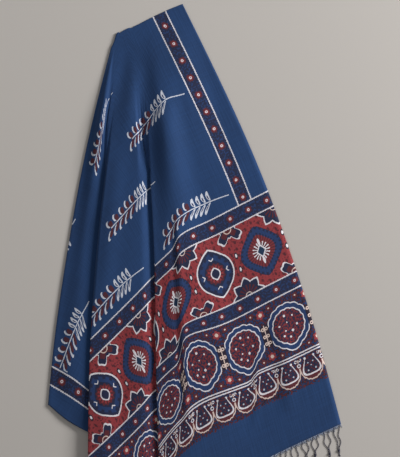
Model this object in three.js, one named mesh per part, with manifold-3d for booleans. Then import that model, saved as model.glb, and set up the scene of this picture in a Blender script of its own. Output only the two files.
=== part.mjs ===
// A long indigo block-printed cloth, folded over along one slanting fold and laid flat in pleats.
// Millimetres, +Z up. The origin is the middle of the footprint, on the surface it lies on.
// The front half lies on top, the back half under it, and both ends carry a knotted fringe.

import * as THREE from 'three';
import Module from 'manifold-3d';

const wasm = await Module();
wasm.setup();

// Driving sizes of the cloth and its layers
const THICKNESS = 2;
const HALF_THICKNESS = THICKNESS / 2;
const LAYER_PITCH = 3.2;
const STRIP_GAP = 0.7;

// Where the middle of the footprint lies in the fold table's own frame
const FOOTPRINT_MIDDLE_X = -2.6;
const FOOTPRINT_MIDDLE_Y = -2.7;

// Stations along every fold line: the shoulder fold, the head of the printed end,
// the rosette band, and the foot
const STATION_T = [0, 0.46, 0.68, 1];

// Each pleat rises out of the smooth cloth between two heights of the plan, from top to bottom,
// and turns over between two places along its lines
const FIRST_PLEAT = { riseFrom: 526, riseTo: 398, closeFrom: 0.2, closeTo: 0.36 };
const SECOND_PLEAT = { riseFrom: 540, riseTo: 400, closeFrom: 0.1, closeTo: 0.32 };

// One row for each fold line, from the right selvedge round to the left fold.
// shoulder, head, rosette, foot: the line's place in plan at the four stations.
// over, under: which layer the line lies on, counted from the floor, before and after a turn.
// backOver, backUnder: the same for the back half.
// footOver, footUnder, drop, underDrop: the layers at the foot, and where the line comes down to them.
// liftHigh, liftLow: how far a soft ridge stands up above its layer, above and beside the print.
// pleat: the pleat that the line belongs to. beside, offset: where it lies before that pleat closes.
const FOLD_LINES = [
  {
    name: 'right selvedge', shoulder: [-28, 686], head: [153, 290], rosette: [224, 89], foot: [309, -207],
    over: 1, under: 1, backOver: 0, backUnder: 0, footOver: 0, footUnder: 0, drop: [0.93, 1],
    liftHigh: 0, liftLow: 0,
  },
  {
    name: 'right ridge', shoulder: [-60, 673], head: [36, 230], rosette: [104, 28], foot: [158, -277],
    over: 1.5, under: 1.5, backOver: 0, backUnder: 0, footOver: 0, footUnder: 0, drop: [0.93, 1],
    liftHigh: 10, liftLow: 3,
  },
  {
    name: 'first ridge', shoulder: [-100, 654], head: [-38, 185], rosette: [-26, -45], foot: [-13, -364],
    over: 6.5, under: 6.5, backOver: 0, backUnder: 0, footOver: 2.2, footUnder: 2.2, drop: [0.9, 1],
    liftHigh: 12, liftLow: 0, pleat: FIRST_PLEAT,
  },
  {
    name: 'first pleat edge', shoulder: [-121, 643], head: [-87, 136], rosette: [-83, -113], foot: [-70, -426],
    over: 5, under: 4, backOver: 0, backUnder: 1, footOver: 2, footUnder: 1, drop: [0.91, 1], underDrop: [0.85, 0.91],
    liftHigh: 2, liftLow: 0, pleat: FIRST_PLEAT, turn: true,
  },
  {
    name: 'first pleat inside', shoulder: [-128, 641], head: [-49, 126], rosette: [-21, -151], foot: [0, -454],
    over: 4, under: 3, backOver: 1, backUnder: 2, footOver: 1, footUnder: 0, drop: [0.8, 0.87],
    liftHigh: 0, liftLow: 0, pleat: FIRST_PLEAT, turn: true,
    beside: 'first pleat edge', offset: [-9, -4],
  },
  {
    name: 'side panel start', shoulder: [-134, 638], head: [-92, 107], rosette: [-88, -176], foot: [-76, -500],
    over: 3, under: 3, backOver: 2, backUnder: 2, footOver: 0, footUnder: 0, drop: [0.765, 0.835],
    liftHigh: 2, liftLow: 0, pleat: FIRST_PLEAT,
    beside: 'first pleat edge', offset: [-17, -8],
  },
  {
    name: 'side panel ridge', shoulder: [-141, 635], head: [-113, 85], rosette: [-113, -203], foot: [-105, -529],
    over: 5.5, under: 5.5, backOver: 0, backUnder: 0, footOver: 1.2, footUnder: 1.2, drop: [0.86, 1],
    liftHigh: 9, liftLow: 0, pleat: SECOND_PLEAT,
  },
  {
    name: 'second pleat edge', shoulder: [-153, 630], head: [-222, -23], rosette: [-228, -313], foot: [-230, -645],
    over: 5, under: 4, backOver: 0, backUnder: 1, footOver: 1.2, footUnder: 0, drop: [0.72, 1],
    liftHigh: 0, liftLow: 0, pleat: SECOND_PLEAT, turn: true,
  },
  {
    name: 'second pleat inside', shoulder: [-160, 624], head: [-131, 58], rosette: [-122, -155], foot: [-123, -300],
    over: 4, under: 3, backOver: 1, backUnder: 2, footOver: 1.8, footUnder: 0.8, drop: [0.88, 1],
    liftHigh: 0, liftLow: 0, pleat: SECOND_PLEAT, turn: true,
    beside: 'second pleat edge', offset: [-8, -5],
  },
  {
    name: 'left panel start', shoulder: [-166, 618], head: [-207, 153], rosette: [-215, -38], foot: [-219, -228],
    over: 3, under: 3, backOver: 2, backUnder: 2, footOver: 3, footUnder: 3, drop: [0.9, 1],
    liftHigh: 0, liftLow: 0, pleat: SECOND_PLEAT,
    beside: 'second pleat edge', offset: [-16, -10],
  },
  {
    name: 'left panel ridge', shoulder: [-173, 607], head: [-232, 211], rosette: [-253, 11], foot: [-271, -200],
    over: 2, under: 2, backOver: 0.5, backUnder: 0.5, footOver: 1.6, footUnder: 1.6, drop: [0.8, 1],
    liftHigh: 8, liftLow: 4, pleat: SECOND_PLEAT,
  },
  {
    name: 'left fold', shoulder: [-179, 594], head: [-253, 271], rosette: [-288, 58], foot: [-313, -166],
    over: 1, under: 1, backOver: 0, backUnder: 0, footOver: 1, footUnder: 1, drop: [0.9, 1],
    liftHigh: 0, liftLow: 0,
  },
];

// How finely the sheet is divided: columns between neighbouring fold lines, steps round a turn,
// and rows from the shoulder to the foot
const COLUMNS_BETWEEN = [4, 5, 2, 1, 1, 1, 3, 1, 2, 2, 3];
const TURN_STEPS = 3;
const RIM_STEPS = 3;
const ROW_T = [
  0, 0.03, 0.08, 0.14, 0.175, 0.205, 0.235, 0.265, 0.295, 0.33, 0.38, 0.44, 0.5, 0.56, 0.62, 0.68, 0.74,
  0.79, 0.83, 0.86, 0.89, 0.92, 0.95, 0.975, 1,
];
const OPEN_TURN_SPREAD = 1.5;

// The back half ends short of the front, so that its fringe lies under it
const BACK_END = 0.72;
const BACK_SIDE_INSET = 8;

// Fringe sizes: a tassel is two strands, and each strand passes these shares of its length
// this far from the tassel's middle
const STRIP_WIDTH = 4;
const STRIP_EMBED = 1.5;
const STRAND_SIDE = 1.8;
const STRAND_HEIGHT = 1.5;
const STRAND_LENGTH = 52;
const STRAND_LENGTH_CHANGE = 7;
const STRAND_ROOT_SPREAD = 5.5;
const STRAND_STATIONS = [0.3, 0.6, 0.8, 1];
const STRAND_SPREADS = [4.2, 2.4, 1.5, 2.2];
const STRAND_LEAN = 0.1;
const STRAND_LEAN_CHANGE = 0.09;
const TASSEL_PITCH = 25;

// Where the right fringe lies on the pleat's lower layers instead of on the floor
const PLEAT_LAP = { fromX: -85, toX: 12, height: 5.7 };

// Colours of the dyed cloth and its fringe
const INDIGO = new THREE.MeshStandardMaterial({ color: 0x26427a, roughness: 0.85, metalness: 0 });
const FRINGE_YARN = new THREE.MeshStandardMaterial({ color: 0x1a2340, roughness: 0.9, metalness: 0 });

// A value that goes smoothly from 0 at a to 1 at b
function ease(a, b, value) {
  const f = THREE.MathUtils.clamp((value - a) / (b - a), 0, 1);
  return f * f * (3 - 2 * f);
}

// A smooth curve through values at rising knots
function curveThrough(knots, values, at) {
  const last = knots.length - 1;
  let k = 0;
  while (k < last - 1 && at > knots[k + 1]) {
    k += 1;
  }
  const slope = (i) => (values[i + 1] - values[i]) / (knots[i + 1] - knots[i]);
  const inner = (i) => {
    const before = knots[i] - knots[i - 1];
    const after = knots[i + 1] - knots[i];
    return (slope(i - 1) * after + slope(i) * before) / (before + after);
  };
  const tangent = (i) => {
    if (last === 1) {
      return slope(0);
    }
    if (i === 0) {
      return 1.5 * slope(0) - 0.5 * inner(1);
    }
    if (i === last) {
      return 1.5 * slope(last - 1) - 0.5 * inner(last - 1);
    }
    return inner(i);
  };
  const width = knots[k + 1] - knots[k];
  const x = (at - knots[k]) / width;
  const a = (2 * x ** 3 - 3 * x ** 2 + 1) * values[k] + (x ** 3 - 2 * x ** 2 + x) * width * tangent(k);
  const b = (3 * x ** 2 - 2 * x ** 3) * values[k + 1] + (x ** 3 - x ** 2) * width * tangent(k + 1);
  return a + b;
}

// How far a line's pleat has turned over at t: 1 where the cloth runs on smoothly, -1 where it lies double
function turnOfLine(line, t) {
  return Math.cos(Math.PI * ease(line.pleat.closeFrom, line.pleat.closeTo, t));
}

// Where a fold line lies in plan at t
function planOfLine(line, t) {
  const along = (axis) =>
    curveThrough(STATION_T, [line.shoulder[axis], line.head[axis], line.rosette[axis], line.foot[axis]], t);
  const closed = new THREE.Vector2(along(0), along(1));
  if (!line.beside) {
    return closed;
  }
  const beside = planOfLine(FOLD_LINES.find((other) => other.name === line.beside), t);
  const turn = turnOfLine(line, t);
  const opened = new THREE.Vector2(...line.offset).multiplyScalar(Math.max(turn, 0));
  const folded = closed.sub(beside).multiplyScalar(Math.max(-turn, 0));
  return opened.add(folded).add(beside);
}

// The soft ridge's height on a line at t
function liftOfLine(line, t) {
  const high = ease(0, 0.16, t) * (1 - ease(0.26, 0.46, t)) * line.liftHigh;
  const low = ease(0.26, 0.46, t) * (1 - ease(0.84, 1, t)) * line.liftLow;
  return high + low;
}

// The height of the sheet's middle on a line: layer is over or under, half is front or back
function heightOfLine(line, t, plan, layer, half) {
  const grown = line.pleat ? ease(line.pleat.riseFrom, line.pleat.riseTo, plan.y) : ease(0, 0.3, t);
  if (half === 'back') {
    const level = layer === 'over' ? line.backOver : line.backUnder;
    return HALF_THICKNESS + LAYER_PITCH * level * grown;
  }
  const level = layer === 'over' ? line.over : line.under;
  const footLevel = layer === 'over' ? line.footOver : line.footUnder;
  const drop = layer === 'under' && line.underDrop ? line.underDrop : line.drop;
  const raised = 1 + (level - 1) * grown;
  const dropped = THREE.MathUtils.lerp(raised, footLevel, ease(drop[0], drop[1], t));
  return HALF_THICKNESS + LAYER_PITCH * dropped + liftOfLine(line, t);
}

// The panels between two turns, each a list of line numbers
function panelsBetweenTurns() {
  const panels = [[0]];
  FOLD_LINES.forEach((line, index) => {
    if (index > 0) {
      panels[panels.length - 1].push(index);
    }
    if (line.turn) {
      panels.push([index]);
    }
  });
  return panels;
}

// One cross row of the sheet's middle, from the right selvedge to the left fold
function crossRow(t, half) {
  const lineT = FOLD_LINES.map((line, index) => {
    if (half === 'front') {
      return t;
    }
    const share = ease(FOLD_LINES.length - 1, FOLD_LINES.length - 5, index);
    return t * THREE.MathUtils.lerp(1, BACK_END, share);
  });
  const plans = FOLD_LINES.map((line, index) => planOfLine(line, lineT[index]));
  if (half === 'back') {
    const inward = plans[1].clone().sub(plans[0]).normalize().multiplyScalar(BACK_SIDE_INSET * ease(0, 0.03, t));
    plans[0].add(inward);
  }
  const row = [];
  const panels = panelsBetweenTurns();
  panels.forEach((panel, number) => {
    const points = panel.map((index) => plans[index].clone());
    const count = panel.length;
    const shift = OPEN_TURN_SPREAD * TURN_STEPS * 0.5;
    const startTurn = number > 0 ? FOLD_LINES[panel[0]] : null;
    const endTurn = number < panels.length - 1 ? FOLD_LINES[panel[count - 1]] : null;
    if (startTurn) {
      const travel = points[1].clone().sub(points[0]).normalize();
      points[0].addScaledVector(travel, shift * Math.max(turnOfLine(startTurn, lineT[panel[0]]), 0));
    }
    const arrive = points[count - 1].clone().sub(points[count - 2]).normalize();
    const turn = endTurn ? turnOfLine(endTurn, lineT[panel[count - 1]]) : -1;
    points[count - 1].addScaledVector(arrive, -shift * Math.max(turn, 0));
    const heights = panel.map((index, place) => {
      const layer = place === count - 1 ? 'over' : 'under';
      return heightOfLine(FOLD_LINES[index], lineT[index], plans[index], layer, half);
    });
    const knots = [0];
    for (let place = 1; place < count; place += 1) {
      const here = new THREE.Vector2(...FOLD_LINES[panel[place]].rosette);
      const before = new THREE.Vector2(...FOLD_LINES[panel[place - 1]].rosette);
      knots.push(knots[place - 1] + here.distanceTo(before));
    }
    for (let place = 0; place < count - 1; place += 1) {
      const steps = COLUMNS_BETWEEN[panel[place]];
      const first = place === 0 ? 0 : 1;
      for (let step = first; step <= steps; step += 1) {
        const at = THREE.MathUtils.lerp(knots[place], knots[place + 1], step / steps);
        const x = curveThrough(knots, points.map((point) => point.x), at);
        const y = curveThrough(knots, points.map((point) => point.y), at);
        const z = THREE.MathUtils.lerp(heights[place], heights[place + 1], ease(0, 1, step / steps));
        row.push(new THREE.Vector3(x, y, z));
      }
    }
    if (endTurn) {
      const index = panel[count - 1];
      const over = heightOfLine(endTurn, lineT[index], plans[index], 'over', half);
      const under = heightOfLine(endTurn, lineT[index], plans[index], 'under', half);
      const radius = Math.abs(over - under) / 2;
      for (let step = 1; step < TURN_STEPS; step += 1) {
        const angle = (Math.PI * step) / TURN_STEPS;
        const spread = OPEN_TURN_SPREAD * (step - TURN_STEPS / 2) * Math.max(turn, 0);
        const bulge = radius * Math.sin(angle) * Math.max(-turn, 0);
        const out = plans[index].clone().addScaledVector(arrive, bulge + spread);
        const height = (over + under) / 2 + ((over - under) / 2) * Math.cos(angle);
        row.push(new THREE.Vector3(out.x, out.y, height));
      }
    }
  });
  return row;
}

// The sheet's middle as one surface: the front grid, the back grid and the rounded fold between them
function middleSurface() {
  const front = ROW_T.map((t) => crossRow(t, 'front'));
  const back = ROW_T.map((t) => crossRow(t, 'back'));
  const columns = front[0].length;
  const rows = ROW_T.length;
  const vertices = [];
  const add = (point) => vertices.push(point) - 1;
  const frontIndex = front.map((row) => row.map(add));
  const backIndex = back.map((row) => row.map(add));
  const faces = [];
  for (let j = 0; j < rows - 1; j += 1) {
    for (let i = 0; i < columns - 1; i += 1) {
      const corners = (grid) => [grid[j][i], grid[j][i + 1], grid[j + 1][i + 1], grid[j + 1][i]];
      const [a, b, c, d] = corners(frontIndex);
      faces.push([a, b, c], [a, c, d]);
      const [e, f, g, h] = corners(backIndex);
      faces.push([e, g, f], [e, h, g]);
    }
  }
  const path = [];
  for (let i = 0; i < columns; i += 1) {
    path.push([0, i]);
  }
  for (let j = 1; j < rows; j += 1) {
    path.push([j, columns - 1]);
  }
  const plan = path.map(([j, i]) => new THREE.Vector2(front[j][i].x, front[j][i].y));
  const rim = path.map(([j, i], place) => {
    const next = plan[Math.min(place + 1, plan.length - 1)];
    const before = plan[Math.max(place - 1, 0)];
    const tangent = next.clone().sub(before).normalize();
    const outward = new THREE.Vector2(tangent.y, -tangent.x);
    const top = front[j][i];
    const bottom = back[j][i];
    const radius = (top.z - bottom.z) / 2;
    const ring = [frontIndex[j][i]];
    for (let step = 1; step < RIM_STEPS; step += 1) {
      const angle = (Math.PI * step) / RIM_STEPS;
      const out = plan[place].clone().addScaledVector(outward, radius * Math.sin(angle));
      ring.push(add(new THREE.Vector3(out.x, out.y, bottom.z + radius * (1 + Math.cos(angle)))));
    }
    ring.push(backIndex[j][i]);
    return ring;
  });
  for (let place = 0; place < rim.length - 1; place += 1) {
    for (let step = 0; step < RIM_STEPS; step += 1) {
      const a = rim[place][step];
      const b = rim[place][step + 1];
      const c = rim[place + 1][step + 1];
      const d = rim[place + 1][step];
      faces.push([a, b, c], [a, c, d]);
    }
  }
  return { vertices, faces };
}

// Gives a surface its thickness: an outer and an inner face, joined round every open edge
function thicken(surface) {
  const { vertices, faces } = surface;
  const normals = vertices.map(() => new THREE.Vector3());
  for (const [a, b, c] of faces) {
    const one = vertices[b].clone().sub(vertices[a]);
    const two = vertices[c].clone().sub(vertices[a]);
    const face = one.cross(two);
    normals[a].add(face);
    normals[b].add(face);
    normals[c].add(face);
  }
  const count = vertices.length;
  const positions = [];
  for (const side of [1, -1]) {
    vertices.forEach((vertex, index) => {
      const point = vertex.clone().addScaledVector(normals[index].normalize(), side * HALF_THICKNESS);
      positions.push(point.x, point.y, Math.max(point.z, 0));
    });
  }
  const triangles = [];
  const open = new Map();
  for (const [a, b, c] of faces) {
    triangles.push(a, b, c, a + count, c + count, b + count);
    for (const [from, to] of [[a, b], [b, c], [c, a]]) {
      if (!open.delete(`${to} ${from}`)) {
        open.set(`${from} ${to}`, [from, to]);
      }
    }
  }
  for (const [from, to] of open.values()) {
    triangles.push(from, from + count, to + count, from, to + count, to);
  }
  const geometry = new THREE.BufferGeometry();
  geometry.setAttribute('position', new THREE.Float32BufferAttribute(positions, 3));
  geometry.setIndex(triangles);
  return geometry;
}

// The column of the sheet in which a fold line's panel ends
function columnOfLine(name) {
  const target = FOLD_LINES.findIndex((line) => line.name === name);
  let column = 0;
  for (let index = 0; index < target; index += 1) {
    column += COLUMNS_BETWEEN[index];
    if (FOLD_LINES[index].turn) {
      column += TURN_STEPS;
    }
  }
  return column;
}

// A closed geometry as a solid that can be joined
function solidOf(geometry) {
  const vertProperties = new Float32Array(geometry.getAttribute('position').array);
  const triVerts = new Uint32Array(geometry.getIndex().array);
  return new wasm.Manifold(new wasm.Mesh({ numProp: 3, vertProperties, triVerts }));
}

// A joined solid as a geometry again
function geometryOf(solid) {
  const mesh = solid.getMesh();
  const geometry = new THREE.BufferGeometry();
  geometry.setAttribute('position', new THREE.Float32BufferAttribute(mesh.vertProperties, 3));
  geometry.setIndex([...mesh.triVerts]);
  return geometry;
}

// The narrow strip that carries a fringe, just off the cloth's end between two columns
function stripSolid(foot, outward) {
  const vertices = [];
  const faces = [];
  foot.forEach((point, i) => {
    for (const distance of [STRIP_GAP, STRIP_GAP + STRIP_WIDTH]) {
      const place = new THREE.Vector2(point.x, point.y).addScaledVector(outward[i], distance);
      vertices.push(new THREE.Vector3(place.x, place.y, point.z));
    }
    if (i > 0) {
      const a = 2 * i;
      faces.push([a - 2, a, a + 1], [a - 2, a + 1, a - 1]);
    }
  });
  return solidOf(thicken({ vertices, faces }));
}

// One strand: a three-sided yarn with its flat side down, through a few places in plan
function strandSolid(places) {
  const positions = [];
  places.forEach((place, i) => {
    const next = places[Math.min(i + 1, places.length - 1)];
    const before = places[Math.max(i - 1, 0)];
    const along = new THREE.Vector2(next.x - before.x, next.y - before.y).normalize();
    const across = new THREE.Vector2(-along.y, along.x).multiplyScalar(STRAND_SIDE / 2);
    positions.push(place.x + across.x, place.y + across.y, place.z);
    positions.push(place.x - across.x, place.y - across.y, place.z);
    positions.push(place.x, place.y, place.z + STRAND_HEIGHT);
  });
  const triangles = [];
  const last = 3 * (places.length - 1);
  for (let ring = 0; ring < last; ring += 3) {
    for (let side = 0; side < 3; side += 1) {
      const a = ring + side;
      const b = ring + ((side + 1) % 3);
      triangles.push(a, a + 3, b + 3, a, b + 3, b);
    }
  }
  triangles.push(0, 1, 2, last, last + 2, last + 1);
  const geometry = new THREE.BufferGeometry();
  geometry.setAttribute('position', new THREE.Float32BufferAttribute(positions, 3));
  geometry.setIndex(triangles);
  return solidOf(geometry);
}

// A fringe: its strip and pairs of strands that draw together towards a knot.
// restOf gives the height of what the strands lie on at a place in plan.
function fringe(half, from, to, restOf) {
  const footRow = crossRow(1, half).slice(from, to + 1);
  const nearRow = crossRow(ROW_T[ROW_T.length - 2], half).slice(from, to + 1);
  const outward = footRow.map((point, i) =>
    new THREE.Vector2(point.x - nearRow[i].x, point.y - nearRow[i].y).normalize());
  let solid = stripSolid(footRow, outward);
  const reach = [0];
  for (let i = 1; i < footRow.length; i += 1) {
    reach.push(reach[i - 1] + footRow[i].distanceTo(footRow[i - 1]));
  }
  const length = reach[reach.length - 1];
  const placeAt = (distance) => {
    const clamped = THREE.MathUtils.clamp(distance, 0, length);
    let i = 0;
    while (i < reach.length - 2 && clamped > reach[i + 1]) {
      i += 1;
    }
    const f = (clamped - reach[i]) / (reach[i + 1] - reach[i]);
    return {
      point: footRow[i].clone().lerp(footRow[i + 1], f),
      out: outward[i].clone().lerp(outward[i + 1], f).normalize(),
    };
  };
  const count = Math.floor((length - 2 * STRAND_ROOT_SPREAD) / TASSEL_PITCH) + 1;
  const start = (length - (count - 1) * TASSEL_PITCH) / 2;
  for (let k = 0; k < count; k += 1) {
    const middle = start + k * TASSEL_PITCH;
    const lean = STRAND_LEAN + STRAND_LEAN_CHANGE * Math.sin(2.3 * k);
    const down = new THREE.Vector2(Math.sin(lean), -Math.cos(lean));
    const across = new THREE.Vector2(-down.y, down.x);
    const strandLength = STRAND_LENGTH + STRAND_LENGTH_CHANGE * Math.sin(1.7 * k + 1);
    const knot = placeAt(middle).point.clone();
    for (const side of [-1, 1]) {
      const root = placeAt(middle + side * STRAND_ROOT_SPREAD);
      const base = root.point.z - HALF_THICKNESS;
      const inside = STRIP_GAP + STRIP_WIDTH - STRIP_EMBED;
      const places = [new THREE.Vector3(root.point.x, root.point.y, base)];
      places[0].add(new THREE.Vector3(root.out.x, root.out.y, 0).multiplyScalar(inside));
      STRAND_STATIONS.forEach((share, station) => {
        const along = share * strandLength;
        const spread = -side * STRAND_SPREADS[station];
        const x = knot.x + down.x * along + across.x * spread;
        const y = knot.y + down.y * along + across.y * spread;
        places.push(new THREE.Vector3(x, y, restOf(x, y)));
      });
      solid = solid.add(strandSolid(places));
    }
  }
  return geometryOf(solid);
}

const group = new THREE.Group();
group.position.set(-FOOTPRINT_MIDDLE_X, -FOOTPRINT_MIDDLE_Y, 0);

const cloth = new THREE.Mesh(thicken(middleSurface()), INDIGO);
cloth.name = 'cloth';
group.add(cloth);

const firstEdge = columnOfLine('first pleat edge');
const firstInside = columnOfLine('first pleat inside') + TURN_STEPS;
const secondEdge = columnOfLine('second pleat edge');
const onFloor = () => 0;
const onPleat = (x) => (x < PLEAT_LAP.toX && x > PLEAT_LAP.fromX ? PLEAT_LAP.height : 0);
const FRINGES = [
  { name: 'front_fringe_right', half: 'front', from: 0, to: firstEdge, rest: onPleat },
  { name: 'front_fringe_left', half: 'front', from: firstInside, to: secondEdge, rest: onFloor },
  { name: 'back_fringe_right', half: 'back', from: 0, to: firstEdge - 1, rest: onFloor },
  { name: 'back_fringe_left', half: 'back', from: firstInside + 1, to: secondEdge - 1, rest: onFloor },
];
for (const row of FRINGES) {
  const mesh = new THREE.Mesh(fringe(row.half, row.from, row.to, row.rest), FRINGE_YARN);
  mesh.name = row.name;
  group.add(mesh);
}

export default group;
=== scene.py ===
"""An indigo block-printed cloth with a knotted fringe, folded over once and laid flat in pleats.

Metres, +Z up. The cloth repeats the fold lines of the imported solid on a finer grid, and carries its print
in a UV map that holds real distances on the cloth: u from the right selvedge, v along the cloth, with 0
at the head of the printed end.
"""

import math
import random

import bpy
import numpy as np
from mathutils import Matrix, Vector


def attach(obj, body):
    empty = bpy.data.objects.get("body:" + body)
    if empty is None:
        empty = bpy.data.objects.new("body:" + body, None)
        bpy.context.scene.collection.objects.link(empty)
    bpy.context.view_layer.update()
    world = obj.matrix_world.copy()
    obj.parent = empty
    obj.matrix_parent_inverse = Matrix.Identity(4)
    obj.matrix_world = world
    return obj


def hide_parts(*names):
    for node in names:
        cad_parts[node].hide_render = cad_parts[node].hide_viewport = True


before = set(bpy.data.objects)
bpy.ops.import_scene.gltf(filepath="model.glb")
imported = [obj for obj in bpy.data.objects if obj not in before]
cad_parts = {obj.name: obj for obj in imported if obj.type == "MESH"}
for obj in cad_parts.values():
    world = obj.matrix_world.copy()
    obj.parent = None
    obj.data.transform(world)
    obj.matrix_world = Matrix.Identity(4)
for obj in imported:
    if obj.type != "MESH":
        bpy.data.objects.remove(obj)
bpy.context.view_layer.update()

MM = 0.001

# The cloth as it was cut, and the UV map that holds its own metres
CLOTH_WIDTH = 0.90
CLOTH_LENGTH = 1.67
THICKNESS = 0.9 * MM
LAYER_PITCH = 3.2 * MM
CLOTH_UV = "cloth_metres"

# Where the middle of the footprint lies in the fold table's own frame, in millimetres
FOOTPRINT_MIDDLE = np.array([-2.6, -2.7])

# Stations along every fold line: the shoulder fold, the head of the printed end,
# the rosette band, and the foot
STATION_T = [0, 0.46, 0.68, 1]
BAND_STATION = 2

# Each pleat rises out of the smooth cloth between two heights of the plan, and turns over
# between two places along its lines
FIRST_PLEAT = {"rise": (526, 398), "close": (0.2, 0.36)}
SECOND_PLEAT = {"rise": (540, 400), "close": (0.1, 0.32)}

# Columns of the fold table that hold two layers give the one before a turn, then the one after it
OVER = 0
UNDER = 1

# One row for each fold line, from the right selvedge round to the left fold.
# plan: its place at the four stations, in millimetres. print: its place on the flat cloth, in metres.
# layer, foot: the layers it lies on, counted from the floor, and those that it comes down to.
# drop, under_drop: where along the line it comes down. back: its layers in the back half, if not 0.
# lift: how far a soft ridge stands up above its layer, above and beside the print, in millimetres.
# beside, offset, print_offset: where the line lies before its pleat closes.
FOLD_LINES = [
    dict(name="right selvedge", plan=[(-28, 686), (153, 290), (224, 89), (309, -207)],
         print=[(0, -0.435), (0, 0), (0, 0.212), (0, 0.52)],
         layer=(1, 1), foot=(0, 0), drop=(0.93, 1)),
    dict(name="right ridge", plan=[(-60, 673), (36, 230), (104, 28), (158, -277)],
         print=[(0.035, -0.43), (0.132, 0), (0.134, 0.212), (0.167, 0.52)],
         layer=(1.5, 1.5), foot=(0, 0), drop=(0.93, 1), lift=(10, 3)),
    dict(name="first ridge", plan=[(-100, 654), (-38, 185), (-26, -45), (-13, -364)],
         print=[(0.08, -0.43), (0.222, 0), (0.292, 0.212), (0.364, 0.52)],
         layer=(6.5, 6.5), foot=(2.2, 2.2), drop=(0.9, 1), lift=(12, 0), pleat=FIRST_PLEAT),
    dict(name="first pleat edge", plan=[(-121, 643), (-87, 136), (-83, -113), (-70, -426)],
         print=[(0.10, -0.46), (0.302, 0), (0.388, 0.212), (0.465, 0.52)],
         layer=(5, 4), back=(0, 1), foot=(2, 1), drop=(0.91, 1), under_drop=(0.85, 0.91),
         lift=(2, 0), pleat=FIRST_PLEAT, turn=True),
    dict(name="first pleat inside", plan=[(-128, 641), (-49, 126), (-21, -151), (0, -454)],
         print=[(0.108, -0.46), (0.333, 0), (0.457, 0.212), (0.535, 0.52)],
         layer=(4, 3), back=(1, 2), foot=(1, 0), drop=(0.8, 0.87), pleat=FIRST_PLEAT, turn=True,
         beside="first pleat edge", offset=(-9, -4), print_offset=(0.011, -0.004)),
    dict(name="side panel start", plan=[(-134, 638), (-92, 107), (-88, -176), (-76, -500)],
         print=[(0.115, -0.46), (0.358, 0), (0.518, 0.212), (0.612, 0.52)],
         layer=(3, 3), back=(2, 2), foot=(0, 0), drop=(0.765, 0.835), lift=(2, 0), pleat=FIRST_PLEAT,
         beside="first pleat edge", offset=(-17, -8), print_offset=(0.021, -0.008)),
    dict(name="side panel ridge", plan=[(-141, 635), (-113, 85), (-113, -203), (-105, -529)],
         print=[(0.12, -0.46), (0.398, 0), (0.562, 0.212), (0.675, 0.52)],
         layer=(5.5, 5.5), foot=(1.2, 1.2), drop=(0.86, 1), lift=(3, 0), pleat=SECOND_PLEAT),
    dict(name="second pleat edge", plan=[(-153, 630), (-222, -23), (-228, -313), (-230, -645)],
         print=[(0.14, -0.45), (0.56, 0), (0.74, 0.212), (0.9, 0.52)],
         layer=(5, 4), back=(0, 1), foot=(1.2, 0), drop=(0.72, 1), pleat=SECOND_PLEAT, turn=True),
    dict(name="second pleat inside", plan=[(-160, 624), (-131, 58), (-122, -155), (-123, -300)],
         print=[(0.15, -0.45), (0.565, -0.14), (0.755, 0), (0.9, 0.2)],
         layer=(4, 3), back=(1, 2), foot=(1.8, 0.8), drop=(0.88, 1), pleat=SECOND_PLEAT, turn=True,
         beside="second pleat edge", offset=(-8, -5), print_offset=(0.004, -0.01)),
    dict(name="left panel start", plan=[(-166, 618), (-207, 153), (-215, -38), (-219, -228)],
         print=[(0.16, -0.45), (0.545, -0.272), (0.738, -0.21), (0.895, -0.14)],
         layer=(3, 3), back=(2, 2), foot=(3, 3), drop=(0.9, 1), pleat=SECOND_PLEAT,
         beside="second pleat edge", offset=(-16, -10), print_offset=(0.008, -0.02)),
    dict(name="left panel ridge", plan=[(-173, 607), (-232, 211), (-253, 11), (-271, -200)],
         print=[(0.18, -0.445), (0.52, -0.335), (0.728, -0.27), (0.897, -0.20)],
         layer=(2, 2), back=(0.5, 0.5), foot=(1.6, 1.6), drop=(0.8, 1), lift=(8, 4), pleat=SECOND_PLEAT),
    dict(name="left fold", plan=[(-179, 594), (-253, 271), (-288, 58), (-313, -166)],
         print=[(0.20, -0.44), (0.475, -0.39), (0.703, -0.33), (0.892, -0.24)],
         layer=(1, 1), foot=(1, 1), drop=(0.9, 1)),
]

# Where lines outside the pleats rise to their layers, and where ridges grow, pass from their upper
# to their lower lift, and fade, all along the line
PLAIN_RISE = (0, 0.3)
RIDGE_START = (0, 0.16)
RIDGE_CHANGE = (0.26, 0.46)
RIDGE_END = (0.84, 1)

# How finely the sheet is divided
FRONT_PITCH = 7.5
BACK_PITCH = 16
LEAST_COLUMNS = 3
FRONT_ROWS = 180
BACK_ROWS = 60
FRONT_TURN_STEPS = 6
BACK_TURN_STEPS = 4
RIM_STEPS = 5
SPOT_STEP = 1e-6

# How wide a turn lies before its pleat closes, in millimetres, and the largest share of the distance
# to the next line over which its print spreads
OPEN_TURN_SPREAD = 4.5
LARGEST_SHARE = 0.5
LEAST_DISTANCE = 0.001

# The back half ends short of the front, so that its fringe lies under it, but reaches it again over
# the last lines beside the left fold. Its selvedge lies a little way in, which grows from the shoulder.
BACK_END = 0.72
BACK_SHORT_LINES = 4
BACK_SIDE_INSET = 8
BACK_INSET_GROWS = (0, 0.03)

# The step, and the reach in steps, over which heights are evened out near the shoulder, how far
# along the lines this goes on, and how it fades in from the outer edges
SMOOTH_STEP = 2 * MM
SMOOTH_REACH = 14
SMOOTH_ENDS = (0.11, 0.21)
SMOOTH_FROM_EDGE = (0, 25 * MM)

# Creases and ripples fade towards the shoulder, the foot, and the last columns beside the left fold
UNEVEN_STARTS = (0, 0.06)
UNEVEN_ENDS = (0.9, 1)
FADING_COLUMNS = 12

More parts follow.
